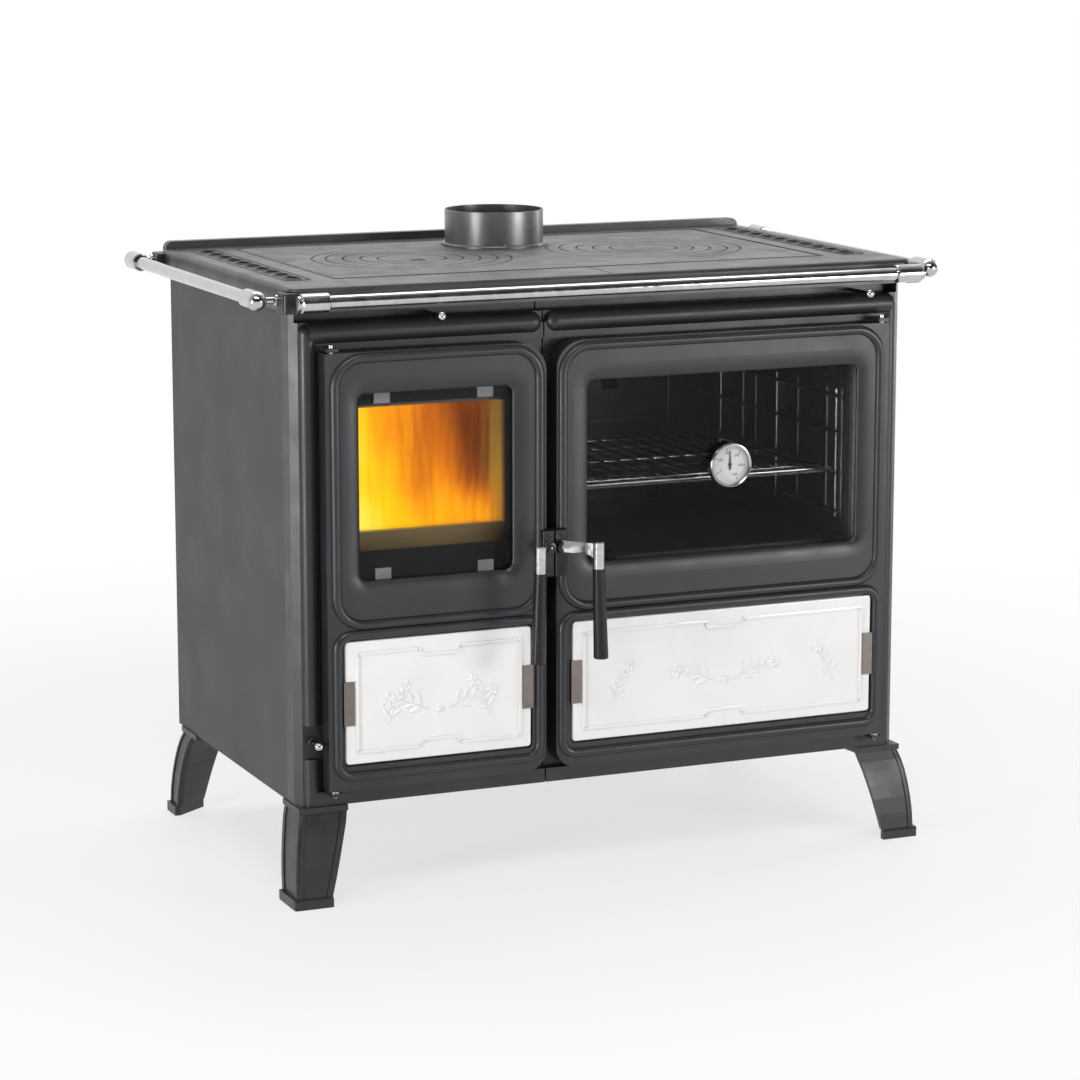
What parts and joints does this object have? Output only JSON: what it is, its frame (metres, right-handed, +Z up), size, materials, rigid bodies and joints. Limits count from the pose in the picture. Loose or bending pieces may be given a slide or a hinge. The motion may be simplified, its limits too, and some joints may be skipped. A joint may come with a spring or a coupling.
{
  "type": "wood cookstove",
  "caption": "Cast wood-burning range cooker with a glazed firebox door, a glazed oven door, a hob with lift-out rings, a flue collar, towel rails, tiled lower panels and splayed legs.",
  "frame": {"origin": "on the floor, below the middle of the whole object's box", "axes": "+X to the viewer's right, +Y to the back, +Z up"},
  "size_m": [1.0599, 0.6854, 0.912],
  "materials": {
    "cast_body": "satin charcoal stove paint",
    "side_sheet": "satin charcoal stove paint",
    "dark_casting": "matt black",
    "cooking_plate": "blasted, satin grey",
    "chrome": "polished",
    "collar_steel": "satin",
    "window_glass": "clear ceramic glass",
    "tile_glaze": "gloss white glaze",
    "clip_steel": "satin",
    "grip": "dark brown-black",
    "rope": "glass-fibre rope",
    "firebrick": "matt",
    "fire_iron": "matt",
    "inner_sheet": "matt black",
    "zinc": "zinc plated",
    "dial": "matt white",
    "needle": "matt black"
  },
  "bodies": {
    "root": {"front_frame_left": "cast_body", "front_frame_right": "cast_body", "side_panel_left": "side_sheet", "side_panel_right": "side_sheet", "back_panel": "side_sheet", "base_plate": "side_sheet", "leg_front_left": "cast_body", "leg_front_right": "cast_body", "leg_rear_left": "cast_body", "leg_rear_right": "cast_body", "leg_bolts": "zinc", "hob_frame": "cast_body", "hob_plate": "cooking_plate", "flue_collar": "collar_steel", "rail_front": "chrome", "rail_left": "chrome", "rail_right": "chrome", "rail_ends": "chrome", "rail_brackets": "dark_casting", "rail_posts": "chrome", "firebox_shell": "inner_sheet", "firebox_ledges": "inner_sheet", "firebox_liners": "firebrick", "fire_grate": "fire_iron", "log_guard": "fire_iron", "baffle_plate": "fire_iron", "ash_drawer": "inner_sheet", "oven_box": "inner_sheet", "rack_guides": "chrome", "oven_rack": "chrome", "soot_cover": "inner_sheet", "hinge_pins": "zinc", "air_escutcheon": "dark_casting"},
    "firebox_door": {"firebox_door_casting": "cast_body", "firebox_door_glass": "window_glass", "firebox_glass_clips": "clip_steel", "firebox_door_tile": "tile_glaze", "firebox_tile_clips": "clip_steel", "firebox_door_seal": "rope", "firebox_latch_block": "dark_casting"},
    "oven_door": {"oven_door_casting": "cast_body", "oven_door_glass": "window_glass", "oven_glass_clips": "clip_steel", "oven_door_tile": "tile_glaze", "oven_tile_clips": "clip_steel", "oven_door_seal": "rope", "oven_latch_block": "dark_casting", "thermometer_case": "chrome", "thermometer_dial": "dial"},
    "firebox_handle": {"firebox_handle_arm": "chrome", "firebox_handle_grip": "grip"},
    "oven_handle": {"oven_handle_arm": "chrome", "oven_handle_grip": "grip"},
    "needle": {"thermometer_needle": "needle"},
    "outer_ring": {"hob_ring_outer": "cooking_plate"},
    "inner_ring": {"hob_ring_inner": "cooking_plate"},
    "centre_lid": {"hob_lid": "cooking_plate"},
    "primary_air": {"primary_air_pull": "chrome"},
    "secondary_air": {"secondary_air_pull": "chrome"},
    "flue_damper": {"flue_damper_pull": "chrome"}
  },
  "joints": [
    {"name": "firebox_door_hinge", "type": "hinge", "parent": "root", "child": "firebox_door", "pos_m": [-0.4223, -0.26425, 0.4645], "axis": [0, 0, -1], "range_deg": [0, 95]},
    {"name": "oven_door_hinge", "type": "hinge", "parent": "root", "child": "oven_door", "pos_m": [0.4223, -0.26425, 0.4645], "axis": [0, 0, 1], "range_deg": [0, 95]},
    {"name": "firebox_handle_turn", "type": "hinge", "parent": "firebox_door", "child": "firebox_handle", "pos_m": [-0.1094, -0.28225, 0.482], "axis": [0, 1, 0], "range_deg": [0, 60]},
    {"name": "oven_handle_turn", "type": "hinge", "parent": "oven_door", "child": "oven_handle", "pos_m": [-0.0894, -0.28225, 0.482], "axis": [0, -1, 0], "range_deg": [0, 60]},
    {"name": "needle_turn", "type": "hinge", "parent": "oven_door", "child": "needle", "pos_m": [0.1785, -0.26815, 0.578], "axis": [0, 1, 0], "range_deg": [-30, 240]},
    {"name": "outer_ring_lift", "type": "slide", "parent": "root", "child": "outer_ring", "axis": [0, 0, 1], "range_m": [0, 0.06]},
    {"name": "inner_ring_lift", "type": "slide", "parent": "outer_ring", "child": "inner_ring", "axis": [0, 0, 1], "range_m": [0, 0.06]},
    {"name": "centre_lid_lift", "type": "slide", "parent": "inner_ring", "child": "centre_lid", "axis": [0, 0, 1], "range_m": [0, 0.06]},
    {"name": "primary_air_slide", "type": "slide", "parent": "root", "child": "primary_air", "axis": [0, -1, 0], "range_m": [0, 0.03]},
    {"name": "secondary_air_slide", "type": "slide", "parent": "root", "child": "secondary_air", "axis": [0, -1, 0], "range_m": [0, 0.04]},
    {"name": "flue_damper_slide", "type": "slide", "parent": "root", "child": "flue_damper", "axis": [0, -1, 0], "range_m": [0, 0.04]}
  ]
}
